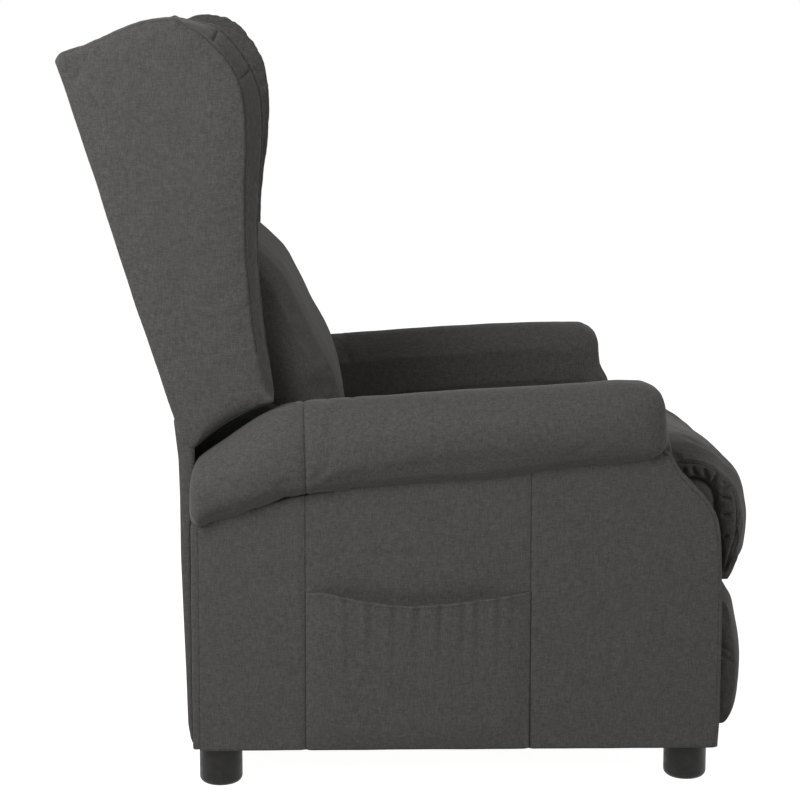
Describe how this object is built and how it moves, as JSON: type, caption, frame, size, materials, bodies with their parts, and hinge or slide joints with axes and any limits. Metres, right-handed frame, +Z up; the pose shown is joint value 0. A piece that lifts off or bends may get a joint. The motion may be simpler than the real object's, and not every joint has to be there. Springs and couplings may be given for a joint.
{
  "type": "recliner",
  "caption": "Wing-back recliner in dark grey fabric with padded roll arms, side pocket, reclining back and fold-out footrest.",
  "frame": {"origin": "on the floor, under the middle of the upright chair's bounding box", "axes": "+Z up, the sitter faces -Y, +X to the sitter's left"},
  "size_m": [0.7, 0.927, 1.0098],
  "materials": {
    "fabric": "woven, dark grey",
    "lining": "black lining",
    "timber": "plain pine and plywood",
    "steel": "black painted steel",
    "bright_steel": "bright",
    "plastic": "black plastic"
  },
  "bodies": {
    "base": {"arm_frame_left": "timber", "arm_frame_right": "timber", "arm_inner_left": "fabric", "arm_inner_right": "fabric", "arm_outer_left": "fabric", "arm_outer_right": "fabric", "arm_roll_left": "fabric", "arm_roll_right": "fabric", "arm_front_left": "fabric", "arm_front_right": "fabric", "side_pocket": "fabric", "foot_front_left": "plastic", "foot_front_right": "plastic", "foot_rear_left": "plastic", "foot_rear_right": "plastic", "front_stretcher": "timber", "rear_stretcher": "timber", "seat_runner_left": "steel", "seat_runner_right": "steel", "hinge_plate_left": "steel", "hinge_plate_right": "steel", "hinge_screws": "bright_steel", "rear_flap": "fabric"},
    "back": {"back_post_left": "timber", "back_post_right": "timber", "back_rails": "timber", "back_webbing": "lining", "back_bracket_left": "steel", "back_bracket_right": "steel", "outer_back": "fabric", "lumbar_cushion": "fabric", "head_cushion": "fabric", "wing_left": "fabric", "wing_right": "fabric", "wing_board_left": "timber", "wing_board_right": "timber", "wing_liner_left": "lining", "wing_liner_right": "lining"},
    "seat": {"seat_frame": "timber", "seat_springs": "bright_steel", "seat_cushion": "fabric", "seat_plate_left": "steel", "seat_plate_right": "steel", "seat_glides": "plastic"},
    "rear_links": {"rear_link_left": "steel", "rear_link_right": "steel", "torque_tube": "steel"},
    "rear_stays": {"rear_stay_left": "steel", "rear_stay_right": "steel"},
    "front_links": {"front_link_left": "steel", "front_link_right": "steel"},
    "front_stays": {"front_stay_left": "steel", "front_stay_right": "steel"},
    "footrest": {"footrest_bracket_left": "steel", "footrest_bracket_right": "steel", "footrest_board": "timber", "footrest_pad": "fabric"}
  },
  "joints": [
    {"name": "back_recline", "type": "hinge", "parent": "base", "child": "back", "pos_m": [0, 0.1335, 0.301], "axis": [-1, 0, 0], "range_deg": [0, 28], "deforming": ["rear_flap"]},
    {"name": "seat_slide", "type": "slide", "parent": "base", "child": "seat", "axis": [0, -0.989, 0.1478], "range_m": [0, 0.028]},
    {"name": "footrest_open", "type": "hinge", "parent": "seat", "child": "rear_links", "pos_m": [0, -0.2525, 0.285], "axis": [-1, 0, 0], "range_deg": [0, 90]},
    {"name": "rear_stay_turn", "type": "hinge", "parent": "seat", "child": "rear_stays", "pos_m": [0, -0.2195, 0.274], "axis": [-1, 0, 0], "range_deg": [0, 90]},
    {"name": "front_link_turn", "type": "hinge", "parent": "rear_links", "child": "front_links", "pos_m": [0, -0.1965, 0.098], "axis": [-1, 0, 0], "range_deg": [-90, 0]},
    {"name": "front_stay_turn", "type": "hinge", "parent": "rear_links", "child": "front_stays", "pos_m": [0, -0.1965, 0.05], "axis": [-1, 0, 0], "range_deg": [-90, 0]},
    {"name": "footrest_turn", "type": "hinge", "parent": "front_links", "child": "footrest", "pos_m": [0, -0.3785, 0.189], "axis": [-1, 0, 0], "range_deg": [0, 90]}
  ],
  "couplings": [
    {"joint": "seat_slide", "follows": "back_recline", "m_per_rad": 0.0571},
    {"joint": "rear_stay_turn", "follows": "footrest_open", "ratio": 1},
    {"joint": "front_link_turn", "follows": "footrest_open", "ratio": -1},
    {"joint": "front_stay_turn", "follows": "footrest_open", "ratio": -1},
    {"joint": "footrest_turn", "follows": "footrest_open", "ratio": 1}
  ]
}
